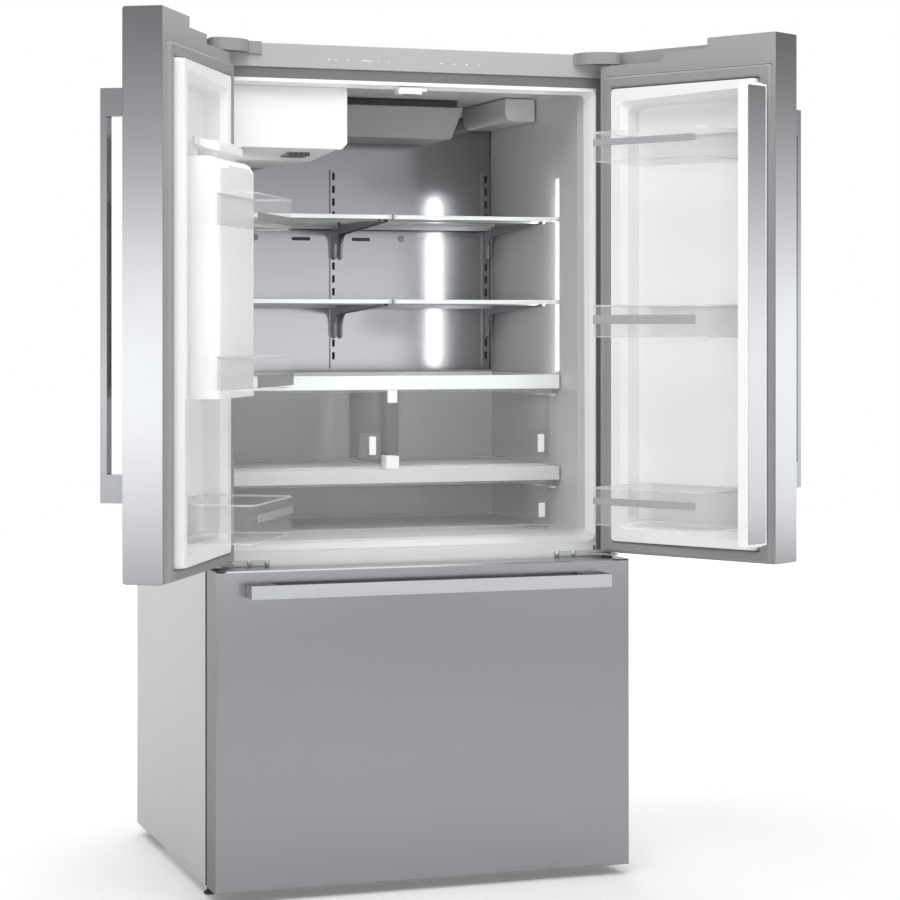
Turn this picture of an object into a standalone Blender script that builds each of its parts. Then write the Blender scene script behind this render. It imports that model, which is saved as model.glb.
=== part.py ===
"""French door refrigerator: two fridge doors standing open above a bottom freezer drawer.

Every piece is laid out in cabinet coordinates with the doors shut: x runs to the right, y runs
back from the front face of the drawer, and z runs up from the floor. A door piece also has u, its
distance from the cabinet's side along the shut door. Each moving body hangs on an empty on its
joint's axis, and the two door empties are turned to the open angle.
"""

import math
from collections import namedtuple

import bmesh
import bpy
from mathutils import Vector

# Driving dimensions, in metres.
WIDTH = 0.905
HALF = WIDTH / 2
CASE_FRONT = 0.094
CASE_DEPTH = 0.692
CASE_REAR = CASE_FRONT + CASE_DEPTH
CASE_BOTTOM = 0.022
CASE_TOP = 1.760
DOOR_THICKNESS = 0.0797
DOOR_WIDTH = 0.450
DOOR_BOTTOM = 0.6878
DOOR_TOP = 1.7723
DOOR_TOP_AT_HINGE = 1.7655
DOOR_STEP = 0.280
DOOR_SKIN = 0.029
NOTCH_REACH = 0.165
NOTCH_FLOOR = 1.7320
DRAWER_TOP = 0.675
HINGE_INSET = 0.0148
HINGE_DEPTH = 0.0552
OPEN_ANGLE = math.radians(120)
GAP = 0.0003
SHEET = 0.0015
LINER_WALL = 0.002
BIN_WALL = 0.0025

# The fridge and freezer openings in the case front.
OPENING_HALF = 0.414
OPENING_LOW = 0.0555
OPENING_HIGH = 1.6885
RAIL_LOW = 0.6481
RAIL_HIGH = 0.7056

# Inner faces of the two compartments: depth, half width, floor, ceiling and corner radius.
FRIDGE_RINGS = (
    (0.0943, 0.4115, 0.7080, 1.6862, 0.014),
    (0.1080, 0.4040, 0.7115, 1.6810, 0.014),
    (0.1220, 0.3995, 0.7165, 1.6750, 0.013),
    (0.1290, 0.3978, 0.7180, 1.6850, 0.012),
    (0.1500, 0.3925, 0.7215, 1.6930, 0.008),
    (0.7000, 0.3900, 0.7215, 1.6930, 0.005),
)
FREEZER_RINGS = (
    (0.0943, 0.4115, 0.0580, 0.6455, 0.014),
    (0.1120, 0.3980, 0.0660, 0.6400, 0.014),
    (0.1400, 0.3900, 0.0700, 0.6400, 0.014),
    (0.5050, 0.3900, 0.0700, 0.6400, 0.014),
    (0.5500, 0.3900, 0.3000, 0.6400, 0.014),
    (0.6720, 0.3900, 0.3000, 0.6400, 0.014),
)

# The machine compartment at the lower rear, as a profile of depth and height.
MACHINE_PROFILE = ((0.600, 0.034), (0.600, 0.200), (0.640, 0.255), (0.800, 0.255), (0.800, 0.034))
MACHINE_HALF = 0.432

# Hinges.
PIN_RADIUS = 0.0045
PIN_CLEARANCE = 0.0007
COVER_LOW = 1.7365
COVER_HIGH = 1.7620
COVER_WALL = 0.0016
COVER_FRONT = 0.0835
COVER_INNER_END = {"left": 0.3354, "right": 0.3600}
COVER_BOSS = (
    (0.3626, 0.0835),
    (0.3690, 0.0664),
    (0.3758, 0.0564),
    (0.3900, 0.0445),
    (0.4074, 0.0385),
    (0.4237, 0.0360),
    (0.4377, 0.0358),
    (0.4480, 0.0400),
    (0.4525, 0.0480),
)

# Shelves.
SHELF_TOPS = {"upper": 1.4145, "lower": 1.2305}
SHELF_FRONT = 0.250
SHELF_REAR = 0.668
SHELF_HALF = 0.3880
GLASS_THICKNESS = 0.0055
TRIM_HEIGHT = 0.0080
TRIM_DEPTH = 0.0115
BRACKET_FRONT = 0.300
WALL_FACE = 0.6965
RAIL_FACE = 0.6900

# Door insides. The rim of a liner stands proud, and higher at the free side than at the hinges.
RIM_AT_HINGE = 0.0925
RIM_AT_FREE = 0.1100
RECESS_DEPTH = 0.045
BIN_LOW_U = 0.0985
BIN_HIGH_U = 0.3830
BIN_FRONT = 0.240

# Floor and rim heights of the door bins.
RIGHT_BINS = {"upper": (1.5140, 1.5746), "middle": (1.1500, 1.2145), "lower": (0.7590, 0.8360)}
LEFT_BINS = {"upper": (1.3640, 1.4240), "middle": (1.0500, 1.1130), "lower": (0.7590, 0.8330)}

# The dispenser: a bulge inside the left door, hollowed from the front.
COLUMN_LOW_U = 0.0920
COLUMN_HIGH_U = 0.3550
COLUMN_FACE = 0.1600
COLUMN_BOTTOM = 1.0330
COLUMN_TOP = 1.4970
NICHE_LOW_U = 0.1280
NICHE_HIGH_U = 0.3220
NICHE_BOTTOM = 1.0450
NICHE_TOP = 1.4200
NICHE_DEPTH = 0.1180

# The folding centre flap on the right door, and its axis.
FLAP_LOW_U = 0.4275
FLAP_FRONT = 0.1130
FLAP_REAR = 0.1820
FLAP_BOTTOM = 0.7290
FLAP_TOP = 1.6620
FLAP_AXIS_U = 0.42625
FLAP_AXIS_V = 0.11825

# Handles.
HANDLE_FACE = -0.0510
HANDLE_BACK = -0.0380
HANDLE_POST = 0.054

FINISHES = {
    "stainless": ((0.60, 0.61, 0.63), 0.32, 1.0),
    "dark_steel": ((0.30, 0.31, 0.32), 0.45, 1.0),
    "grey_paint": ((0.36, 0.36, 0.37), 0.50, 0.0),
    "light_grey": ((0.62, 0.62, 0.62), 0.45, 0.0),
    "white_plastic": ((0.88, 0.88, 0.88), 0.35, 0.0),
    "clear_plastic": ((0.80, 0.84, 0.84), 0.10, 0.0),
    "glass": ((0.75, 0.85, 0.83), 0.05, 0.0),
    "grey_rubber": ((0.25, 0.25, 0.26), 0.75, 0.0),
    "black_paint": ((0.03, 0.03, 0.03), 0.50, 0.0),
    "foam": ((0.85, 0.72, 0.42), 0.90, 0.0),
    "galvanised": ((0.50, 0.51, 0.52), 0.55, 1.0),
}

Body = namedtuple("Body", "empty origin")


# ---------------------------------------------------------------- outlines and rings


def rounded_rect(low, high, radius=0.0, steps=2):
    """The corner points of a rectangle, anticlockwise, with its corners rounded."""
    if radius <= 0:
        return [(low[0], low[1]), (high[0], low[1]), (high[0], high[1]), (low[0], high[1])]
    centres = (
        (high[0] - radius, low[1] + radius, -90),
        (high[0] - radius, high[1] - radius, 0),
        (low[0] + radius, high[1] - radius, 90),
        (low[0] + radius, low[1] + radius, 180),
    )
    points = []
    for across, along, start in centres:
        for step in range(steps + 1):
            angle = math.radians(start + 90 * step / steps)
            points.append((across + radius * math.cos(angle), along + radius * math.sin(angle)))
    return points


def ring_across_y(half, low, high, y, radius=0.0):
    """A rectangle about x = 0 that faces the front, at depth y."""
    return [Vector((x, y, z)) for x, z in rounded_rect((-half, low), (half, high), radius)]


def ring_across_z(low, high, z, radius=0.0, steps=2):
    """A level rectangle in x and y at height z."""
    return [Vector((x, y, z)) for x, y in rounded_rect(low, high, radius, steps)]


def door_point(side, u, v, z):
    """A point of the shut door on one side: -1 is the left door and 1 the right one."""
    return Vector((side * (HALF - u), v, z))


def door_ring(side, low, high, depth, radius=0.0, steps=3):
    """A ring in u and z on a door. Its depth is a number, or a function of u."""
    points = []
    for u, z in rounded_rect(low, high, radius, steps):
        v = depth(u) if callable(depth) else depth
        points.append(door_point(side, u, v, z))
    return points


def circle(centre, radius, axis, along, count=12):
    """A ring of points round a line through centre, at the place along on that axis."""
    first, second = [a for a in range(3) if a != axis]
    points = []
    for step in range(count):
        angle = 2 * math.pi * step / count
        point = [0.0, 0.0, 0.0]
        point[axis] = along
        point[first] = centre[first] + radius * math.cos(angle)
        point[second] = centre[second] + radius * math.sin(angle)
        points.append(Vector(point))
    return points


def turned(centre, axis, profile, count=12):
    """Rings of a turned shape, from pairs of place along the axis and radius."""
    return [circle(centre, radius, axis, along, count) for along, radius in profile]


def box_rings(low, high, radius=0.0):
    """The two level rings of an upright box."""
    return [
        ring_across_z(low[:2], high[:2], low[2], radius),
        ring_across_z(low[:2], high[:2], high[2], radius),
    ]


def door_box(side, low, high):
    """The two rings of a box on a door, given by its corners in u, v and z."""
    ends = (low[2], high[2])
    corners = rounded_rect(low[:2], high[:2])
    return [[door_point(side, u, v, z) for u, v in corners] for z in ends]


def prism(outline, axis, low, high):
    """An outline pushed along an axis. The outline's pairs are the other two coordinates."""
    rings = []
    for along in (low, high):
        ring = []
        for pair in outline:
            point = list(pair)
            point.insert(axis, along)
            ring.append(Vector(point))
        rings.append(ring)
    return rings


# ---------------------------------------------------------------- bodies and pieces


def add_body(name, parent, origin, turn=0.0):
    """An empty on a joint's axis. The origin is in shut cabinet coordinates."""
    empty = bpy.data.objects.new(name, None)
    empty.empty_display_size = 0.05
    bpy.context.scene.collection.objects.link(empty)
    origin = Vector(origin)
    if parent:
        empty.parent = parent.empty
        empty.location = origin - parent.origin
    else:
        empty.location = origin
    empty.rotation_euler.z = turn
    return Body(empty, origin)


def mesh_object(name, body, parts, closed=False):
    """One object from lofts: each part is a list of rings, joined in turn and capped at its ends."""
    bm = bmesh.new()
    for rings in parts:
        loops = [[bm.verts.new(point - body.origin) for point in ring] for ring in rings]
        pairs = list(zip(loops, loops[1:]))
        if closed:
            pairs.append((loops[-1], loops[0]))
        for first, second in pairs:
            for i in range(len(first)):
                j = (i + 1) % len(first)
                bm.faces.new((first[i], first[j], second[j], second[i]))
        if not closed:
            bm.faces.new(list(reversed(loops[0])))
            bm.faces.new(loops[-1])
    bmesh.ops.recalc_face_normals(bm, faces=bm.faces)
    mesh = bpy.data.meshes.new(name)
    bm.to_mesh(mesh)
    bm.free()
    item = bpy.data.objects.new(name, mesh)
    bpy.context.scene.collection.objects.link(item)
    item.parent = body.empty
    return item


def add_finish(item, finish):
    colour, roughness, metallic = FINISHES[finish]
    material = bpy.data.materials.new(item.name)
    material.use_nodes = True
    shader = material.node_tree.nodes["Principled BSDF"]
    shader.inputs["Base Color"].default_value = (*colour, 1.0)
    shader.inputs["Roughness"].default_value = roughness
    shader.inputs["Metallic"].default_value = metallic
    item.data.materials.append(material)


def piece(name, body, rings, finish, closed=False, bevel=0.0, smooth=False):
    """A named sub-part from one loft."""
    item = mesh_object(name, body, [rings], closed)
    add_finish(item, finish)
    if smooth:
        item.data.shade_smooth()
        item.data.set_sharp_from_angle(angle=math.radians(35))
    if bevel:
        edge = item.modifiers.new("edge", "BEVEL")
        edge.width = bevel
        edge.segments = 1
        edge.limit_method = "ANGLE"
        edge.angle_limit = math.radians(50)
    return item


def combine(item, body, operation, parts, closed=False):
    """Cut or join an object with a hidden helper made of separate lofts."""
    helper = mesh_object(f"{item.name}_{operation.lower()}", body, parts, closed)
    helper.hide_render = True
    helper.display_type = "WIRE"
    step = item.modifiers.new(operation.lower(), "BOOLEAN")
    step.operation = operation
    step.solver = "EXACT"
    step.object = helper


def cut(item, body, *parts):
    combine(item, body, "DIFFERENCE", parts)


def join(item, body, *parts):
    combine(item, body, "UNION", parts)


# ---------------------------------------------------------------- case


def liner_rings(table, wall, reach=0.0):
    """The rings of one face of a liner: wall is how far it lies outside the compartment."""
    places = [(y + wall if index else y, *size) for index, (y, *size) in enumerate(table)]
    if reach:
        y, *size = places[0]
        places.insert(0, (y - reach, *size))
    return [
        ring_across_y(half + wall, low - wall, high + wall, y, corner + wall)
        for y, half, low, high, corner in places
    ]


def add_liner(name, body, table):
    outer = liner_rings(table, LINER_WALL)
    inner = liner_rings(table, 0.0)
    piece(name, body, list(reversed(outer)) + inner, "white_plastic", smooth=True)


def add_case(root):
    sheet = SHEET
    outer = (HALF, CASE_BOTTOM, CASE_TOP)
    inner = (HALF - sheet, CASE_BOTTOM + sheet, CASE_TOP - sheet)
    opening = (OPENING_HALF, OPENING_LOW, OPENING_HIGH)
    rings = [
        ring_across_y(*outer, CASE_REAR),
        ring_across_y(*outer, CASE_FRONT),
        ring_across_y(*opening, CASE_FRONT),
        ring_across_y(*opening, CASE_FRONT + sheet),
        ring_across_y(*inner, CASE_FRONT + sheet),
        ring_across_y(*inner, CASE_REAR),
    ]
    shell = piece("cabinet_shell", root, rings, "light_grey", closed=True)
    cut(shell, root, *[wheel_slot(side, 0.001) for side in (-1, 1)])

    foam_half = inner[0] - GAP
    foam = piece(
        "cabinet_insulation",
        root,
        [
            ring_across_y(foam_half, inner[1] + GAP, inner[2] - GAP, CASE_FRONT + sheet + GAP),
            ring_across_y(foam_half, inner[1] + GAP, inner[2] - GAP, CASE_REAR - 0.003),
        ],
        "foam",
    )
    for table in (FRIDGE_RINGS, FREEZER_RINGS):
        cut(foam, root, liner_rings(table, LINER_WALL + GAP, reach=0.01))
    cut(foam, root, prism(MACHINE_PROFILE, 0, -MACHINE_HALF, MACHINE_HALF))
    cut(foam, root, *[wheel_slot(side, 0.001) for side in (-1, 1)])

    add_liner("fresh_food_liner", root, FRIDGE_RINGS)
    add_liner("freezer_liner", root, FREEZER_RINGS)

    rail = [
        ring_across_y(OPENING_HALF - GAP, RAIL_LOW, RAIL_HIGH, CASE_FRONT + 0.0002),
        ring_across_y(OPENING_HALF - GAP, RAIL_LOW, RAIL_HIGH, CASE_FRONT + sheet),
    ]
    piece("centre_rail", root, rail, "light_grey")

    back_face = CASE_REAR - 0.0005
    back = piece(
        "rear_panel",
        root,
        [
            ring_across_y(foam_half, inner[1] + GAP, inner[2] - GAP, back_face - 0.0015),
            ring_across_y(foam_half, inner[1] + GAP, inner[2] - GAP, back_face),
        ],
        "galvanised",
    )
    cut(back, root, *[louvre(index) for index in range(LOUVRES)])

    header = box_rings(
        (-HALF, CASE_FRONT - 0.0045, OPENING_HIGH + 0.022), (HALF, CASE_FRONT - GAP, CASE_TOP)
    )
    piece("control_header", root, header, "light_grey", bevel=0.0008)


LOUVRES = 12


def louvre(index):
    """One upright slot in the rear panel, in front of the machine compartment."""
    middle = (index - (LOUVRES - 1) / 2) * 0.055
    return box_rings((middle - 0.004, CASE_REAR - 0.01, 0.07), (middle + 0.004, CASE_REAR, 0.22))


# ---------------------------------------------------------------- feet and rollers

WHEEL_RADIUS = 0.016
WHEEL_Y = 0.680
WHEEL_X = 0.400
AXLE_RADIUS = 0.004
BEAM_TOP = CASE_BOTTOM - GAP


def wheel_slot(side, more):
    """The cut-out that a rear wheel turns in."""
    long = 0.028 + more
    wide = 0.016 + more
    low = (side * WHEEL_X - wide, WHEEL_Y - long, -0.01)
    return box_rings(low, (side * WHEEL_X + wide, WHEEL_Y + long, 0.05))


def add_feet(root):
    beam = piece(
        "roller_beam",
        root,
        box_rings((-0.440, 0.589, 0.0080), (0.440, 0.755, BEAM_TOP)),
        "black_paint",
        bevel=0.0008,
    )
    centre = (0.0, WHEEL_Y, WHEEL_RADIUS)
    bore = AXLE_RADIUS + 0.0004
    cut(beam, root, *[wheel_slot(side, 0.0) for side in (-1, 1)])
    bores = [
        turned(centre, 0, ((side * 0.372, bore), (side * 0.428, bore)), 10) for side in (-1, 1)
    ]
    cut(beam, root, *bores)

    for side, word in ((-1, "left"), (1, "right")):
        middle = side * WHEEL_X
        body = add_body(f"{word}_roller_axis", root, (middle, WHEEL_Y, WHEEL_RADIUS))
        profile = (
            (middle - 0.026, AXLE_RADIUS),
            (middle - 0.0145, AXLE_RADIUS),
            (middle - 0.0145, WHEEL_RADIUS - 0.001),
            (middle - 0.0130, WHEEL_RADIUS),
            (middle + 0.0130, WHEEL_RADIUS),
            (middle + 0.0145, WHEEL_RADIUS - 0.001),
            (middle + 0.0145, AXLE_RADIUS),
            (middle + 0.026, AXLE_RADIUS),
        )
        wheel = turned(centre, 0, profile, 20)
        piece(f"rear_roller_{word}", body, wheel, "black_paint", smooth=True)

        foot = ((0.0, 0.0100), (0.0015, 0.0110), (0.0060, 0.0110), (0.0070, 0.0050), (BEAM_TOP, 0.0050))
        at = (side * 0.4395, 0.1150, 0.0)
        piece(f"levelling_foot_{word}", root, turned(at, 2, foot), "black_paint", smooth=True)


# ---------------------------------------------------------------- hinges


def arm_outline(side, inner, back, radius):
    """A level arm that runs forward from back and ends in an arc round the hinge pin."""
    pin_x = HALF - HINGE_INSET
    points = [(side * inner[0], back), (side * inner[1], HINGE_DEPTH)]
    for step in range(7):
        angle = math.radians(195 + 165 * step / 6)
        points.append(
            (side * (pin_x + radius * math.cos(angle)), HINGE_DEPTH + radius * math.sin(angle))
        )
    points.append((side * (pin_x + radius), back))
    return points


def hinge_pin(side, low, high, radius):
    centre = (side * (HALF - HINGE_INSET), HINGE_DEPTH, 0.0)
    return turned(centre, 2, ((low, radius), (high, radius)), 10)


def drawn_in(outline, amount):
    """The same outline with every corner moved inwards by amount."""
    corners = [Vector(point) for point in outline]
    middle = sum(corners, Vector((0.0, 0.0))) / len(corners)
    moved = []
    for index, corner in enumerate(corners):
        before = (corner - corners[index - 1]).normalized()
        after = (corners[(index + 1) % len(corners)] - corner).normalized()
        inward = [Vector((-way.y, way.x)) for way in (before, after)]
        if inward[0].dot(middle - corner) + inward[1].dot(middle - corner) < 0:
            inward = [-way for way in inward]
        both = (inward[0] + inward[1]).normalized()
        moved.append(corner + both * amount / max(0.5, both.dot(inward[0])))
    return [tuple(point) for point in moved]


def cover_outline(side, word, back):
    """The plan of a hinge cover: a plate on the header with a rounded boss over the pin."""
    end = COVER_INNER_END[word]
    points = [(end, back), (end, COVER_FRONT), *COVER_BOSS, (HALF, back)]
    return [(side * x, y) for x, y in points]


def add_hinges(root):
    for side, word in ((-1, "left"), (1, "right")):
        back = CASE_FRONT - 0.0050
        cover = piece(
            f"hinge_cover_{word}",
            root,
            prism(cover_outline(side, word, back), 2, COVER_LOW, COVER_HIGH),
            "grey_paint",
        )
        hollow = drawn_in(cover_outline(side, word, back + 2 * COVER_WALL), COVER_WALL)
        cut(cover, root, prism(hollow, 2, COVER_LOW - 0.01, COVER_HIGH - COVER_WALL))

        low = (min(side * 0.367, side * 0.445), back - 0.0040, COVER_LOW + 0.0025)
        high = (max(side * 0.367, side * 0.445), back - 0.0002, COVER_HIGH - 0.0040)
        top = piece(f"top_hinge_{word}", root, box_rings(low, high), "galvanised")
        arm = arm_outline(side, (0.4265, 0.4265), back - 0.002, 0.0110)
        join(top, root, prism(arm, 2, low[2] + 0.0001, low[2] + 0.0040))
        join(top, root, hinge_pin(side, NOTCH_FLOOR - 0.0140, low[2] + 0.0020, PIN_RADIUS))

        plate_face = CASE_FRONT - 0.0035
        low = (min(side * 0.3165, side * 0.4250), plate_face, 0.6752)
        high = (max(side * 0.3165, side * 0.4250), CASE_FRONT - GAP, 0.6877)
        middle = piece(f"middle_hinge_{word}", root, box_rings(low, high), "galvanised")
        arm = arm_outline(side, (0.3920, 0.4265), CASE_FRONT - 0.001, 0.0110)
        join(middle, root, prism(arm, 2, 0.6785, 0.6825))
        join(middle, root, hinge_pin(side, 0.6815, DOOR_BOTTOM + 0.0120, PIN_RADIUS))


# ---------------------------------------------------------------- inside the fridge

SLOT_PITCH = 0.0300
SLOT_HEIGHT = 0.0170
SLOTS = 15
SLOT_LOW = 1.0955


def rail_slots():
    """Boxes for the rows of hook slots in the three shelf rails."""
    boxes = []
    for column in (-0.3715, -0.0070, 0.3715):
        for index in range(SLOTS):
            low = SLOT_LOW + index * SLOT_PITCH
            corner = (column + 0.0032, WALL_FACE + 0.01, low + SLOT_HEIGHT)
            boxes.append(box_rings((column - 0.0032, RAIL_FACE - 0.01, low), corner))
    return boxes


def add_back_wall(root):
    wall = piece(
        "back_wall_panel",
        root,
        box_rings((-0.3860, WALL_FACE, 1.0700), (0.3860, WALL_FACE + 0.003, 1.6700)),
        "stainless",
    )
    rails = [
        box_rings((middle - half, RAIL_FACE, 1.0750), (middle + half, WALL_FACE + 0.001, 1.5400))
        for middle, half in ((-0.3715, 0.0080), (0.0, 0.0140), (0.3715, 0.0080))
    ]
    join(wall, root, *rails)
    cut(wall, root, *rail_slots())
    vents = [
        box_rings((middle - 0.022, WALL_FACE - 0.002, 1.3735), (middle + 0.022, 0.7050, 1.3815))
        for middle in (-0.084, 0.062)
    ]
    cut(wall, root, *vents)


def bracket_profile(top):
    """The side of a shelf arm: a slim beam that deepens in a curve to its hooks at the rail."""
    rear = RAIL_FACE - GAP
    points = [(rear, top), (BRACKET_FRONT, top), (BRACKET_FRONT, top - 0.006), (0.636, top - 0.022)]
    for step in range(1, 4):
        angle = math.radians(90 - 90 * step / 4)
        points.append((0.636 + 0.036 * math.cos(angle), top - 0.057 + 0.036 * math.sin(angle)))
    points.append((0.672, top - 0.075))
    points.append((rear, top - 0.080))
    return points


def add_shelf(root, level, side, word):
    top = SHELF_TOPS[level]
    under = top - GLASS_THICKNESS
    outline = (
        (SHELF_FRONT, top - TRIM_HEIGHT),
        (SHELF_FRONT, top),
        (SHELF_REAR, top),
        (SHELF_REAR, under),
        (SHELF_FRONT + TRIM_DEPTH, under),
        (SHELF_FRONT + TRIM_DEPTH, top - TRIM_HEIGHT),
    )
    ends = sorted((side * 0.0025, side * SHELF_HALF))
    piece(f"shelf_glass_{level}_{word}", root, prism(outline, 0, *ends), "glass")

    beam_top = under - GAP
    ends = sorted((side * 0.0050, side * 0.3740))
    rear_tie = box_rings((ends[0], 0.640, beam_top - 0.010), (ends[1], 0.650, beam_top - 0.0004))
    bracket = piece(f"shelf_bracket_{level}_{word}", root, rear_tie, "dark_steel")
    arms = []
    for inner in (0.0050, 0.3690):
        arms.append(prism(bracket_profile(beam_top), 0, *sorted((side * inner, side * (inner + 0.005)))))
    join(bracket, root, *arms)
    join(
        bracket,
        root,
        box_rings((ends[0] + 0.001, 0.320, beam_top - 0.005), (ends[1] - 0.001, 0.328, beam_top - 0.0006)),
    )


def add_covers(root):
    frame_low = 1.0500
    frame_high = 1.0645
    rings = [
        ring_across_z((-0.3885, 0.248), (0.3885, 0.670), frame_low),
        ring_across_z((-0.3885, 0.248), (0.3885, 0.670), frame_high),
        ring_across_z((-0.3760, 0.262), (0.3760, 0.656), frame_high),
        ring_across_z((-0.3760, 0.262), (0.3760, 0.656), frame_low),
    ]
    frame = piece("crisper_cover", root, rings, "white_plastic", closed=True)
    join(frame, root, box_rings((-0.3880, 0.2485, 1.0345), (0.3880, 0.2615, frame_low + 0.001)))
    join(frame, root, box_rings((-0.0130, 0.2520, 0.8615), (0.0130, 0.3000, frame_low + 0.002)))
    glass = box_rings((-0.3755, 0.2625, 1.0580), (0.3755, 0.6555, 1.0620))
    piece("crisper_cover_glass", root, glass, "glass")

    outline = (
        (0.248, 0.8316),
        (0.248, 0.8610),
        (0.670, 0.8610),
        (0.670, 0.8560),
        (0.260, 0.8560),
        (0.260, 0.8316),
    )
    piece("deli_cover", root, prism(outline, 0, -0.3885, 0.3885), "white_plastic")


def tub(low, high, floor, top, wall, radius, thick_floor=None, steps=2):
    """The rings of an open-topped bin: its outside from the floor up, then its inside down."""
    inner_low = (low[0] + wall, low[1] + wall)
    inner_high = (high[0] - wall, high[1] - wall)
    inner_radius = max(radius - wall, 0.001)
    inner_floor = floor + (thick_floor or wall)
    return [
        ring_across_z(low, high, floor, radius, steps),
        ring_across_z(low, high, top, radius, steps),
        ring_across_z(inner_low, inner_high, top, inner_radius, steps),
        ring_across_z(inner_low, inner_high, inner_floor, inner_radius, steps),
    ]


def add_drawers(root):
    plan = (
        ("crisper_left", (-0.3750, -0.0165), 0.8650, 1.0320),
        ("crisper_right", (0.0165, 0.3750), 0.8650, 1.0320),
        ("deli_drawer", (-0.3750, 0.3750), 0.7300, 0.8290),
    )
    for name, (left, right), floor, top in plan:
        body = add_body(f"{name}_axis", root, ((left + right) / 2, 0.45, (floor + top) / 2))
        rings = tub((left, 0.2620), (right, 0.6550), floor, top, 0.003, 0.012)
        item = piece(name, body, rings, "clear_plastic", smooth=True)
        lip = box_rings((left + 0.02, 0.2540, top - 0.016), (right - 0.02, 0.2640, top - 0.002))
        join(item, body, lip)


ICE_LEFT = -0.3885
ICE_RIGHT = -0.1385


def add_ice_maker(root):
    def ring(left, right, low, high, y):
        outline = [(left, low), (left, high - 0.006), (left + 0.006, high), (right, high)]
        outline += [(right, low + 0.014), (right - 0.014, low)]
        return [Vector((x, y, z)) for x, z in outline]

    housing = piece(
        "ice_maker_housing",
        root,
        [
            ring(ICE_LEFT, ICE_RIGHT - 0.003, 1.5470, 1.6880, 0.1505),
            ring(ICE_LEFT, ICE_RIGHT - 0.012, 1.5330, 1.6915, 0.3200),
            ring(ICE_LEFT, ICE_RIGHT - 0.020, 1.5400, 1.6915, 0.6900),
        ],
        "white_plastic",
    )
    cut(housing, root, box_rings((-0.3790, 0.10, 1.5515), (-0.1620, 0.600, 1.6660)))

    body = add_body("ice_bin_axis", root, (-0.2635, 0.40, 1.60))
    outline = rounded_rect((ICE_LEFT, 1.5456), (-0.1376, 1.6765), 0.006)
    chamfer = 0.012
    outline = [p for p in outline if not (p[0] > -0.1376 - chamfer and p[1] < 1.5456 + chamfer)]
    outline.insert(0, (-0.1376 - chamfer, 1.5456))
    outline.insert(1, (-0.1376, 1.5456 + chamfer))
    front = piece("ice_bin", body, prism(outline, 1, 0.130, 0.1490), "white_plastic", bevel=0.0015)
    join(front, body, tub((-0.3760, 0.1460), (-0.1650, 0.5600), 1.5545, 1.6480, 0.003, 0.010))


def add_top_units(root):
    duct = [
        [Vector((x, 0.500, z)) for x, z in ((-0.130, 1.6030), (0.220, 1.6030), (0.250, 1.6765), (-0.130, 1.6765))],
        [Vector((x, 0.696, z)) for x, z in ((-0.130, 1.6030), (0.220, 1.6030), (0.256, 1.6915), (-0.130, 1.6915))],
    ]
    piece("air_duct", root, duct, "light_grey", bevel=0.0015)
    outline = (
        (0.3880, 1.6405),
        (0.3880, 1.6880),
        (0.3850, 1.6915),
        (0.3160, 1.6915),
        (0.3160, 1.6600),
        (0.3175, 1.6510),
        (0.3225, 1.6440),
        (0.3310, 1.6405),
    )
    piece("filter_housing", root, prism(outline, 1, 0.400, 0.696), "light_grey", bevel=0.0015)


def add_compressor(root):
    at = (-0.180, 0.695, 0.0)
    dome = ((0.040, 0.070), (0.055, 0.078), (0.155, 0.078), (0.187, 0.062), (0.205, 0.030))
    item = piece("compressor", root, turned(at, 2, dome, 16), "black_paint", smooth=True)
    join(item, root, box_rings((-0.290, 0.635, 0.0345), (-0.070, 0.755, 0.0425)))


# ---------------------------------------------------------------- doors


def add_door_shell(body, side, word):
    edge = 0.003
    full = ((0.0, DOOR_BOTTOM), (DOOR_WIDTH, DOOR_TOP))
    rings = [
        door_ring(side, (edge, DOOR_BOTTOM + edge), (DOOR_WIDTH - edge, DOOR_TOP - edge), 0.0),
        door_ring(side, *full, edge),
        door_ring(side, *full, DOOR_THICKNESS),
        door_ring(side, (0.0700, 0.7450), (0.3910, 1.6470), DOOR_THICKNESS),
        door_ring(side, (0.0745, 0.7495), (0.3865, 1.6425), RECESS_DEPTH - 0.0025),
    ]
    shell = piece(f"{word}_door_shell", body, rings, "stainless")
    for reach, depth, top in (
        (DOOR_STEP, -0.01, DOOR_TOP_AT_HINGE),
        (DOOR_STEP, DOOR_SKIN, DOOR_TOP_AT_HINGE - 0.0145),
        (NOTCH_REACH, DOOR_SKIN, NOTCH_FLOOR),
    ):
        cut(shell, body, door_box(side, (-0.01, depth, top), (reach, 0.09, 1.80)))
    bore = PIN_RADIUS + PIN_CLEARANCE
    cut(
        shell,
        body,
        hinge_pin(side, DOOR_BOTTOM - 0.01, DOOR_BOTTOM + 0.0140, bore),
        hinge_pin(side, NOTCH_FLOOR - 0.0160, NOTCH_FLOOR + 0.01, bore),
    )
    return shell


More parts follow.
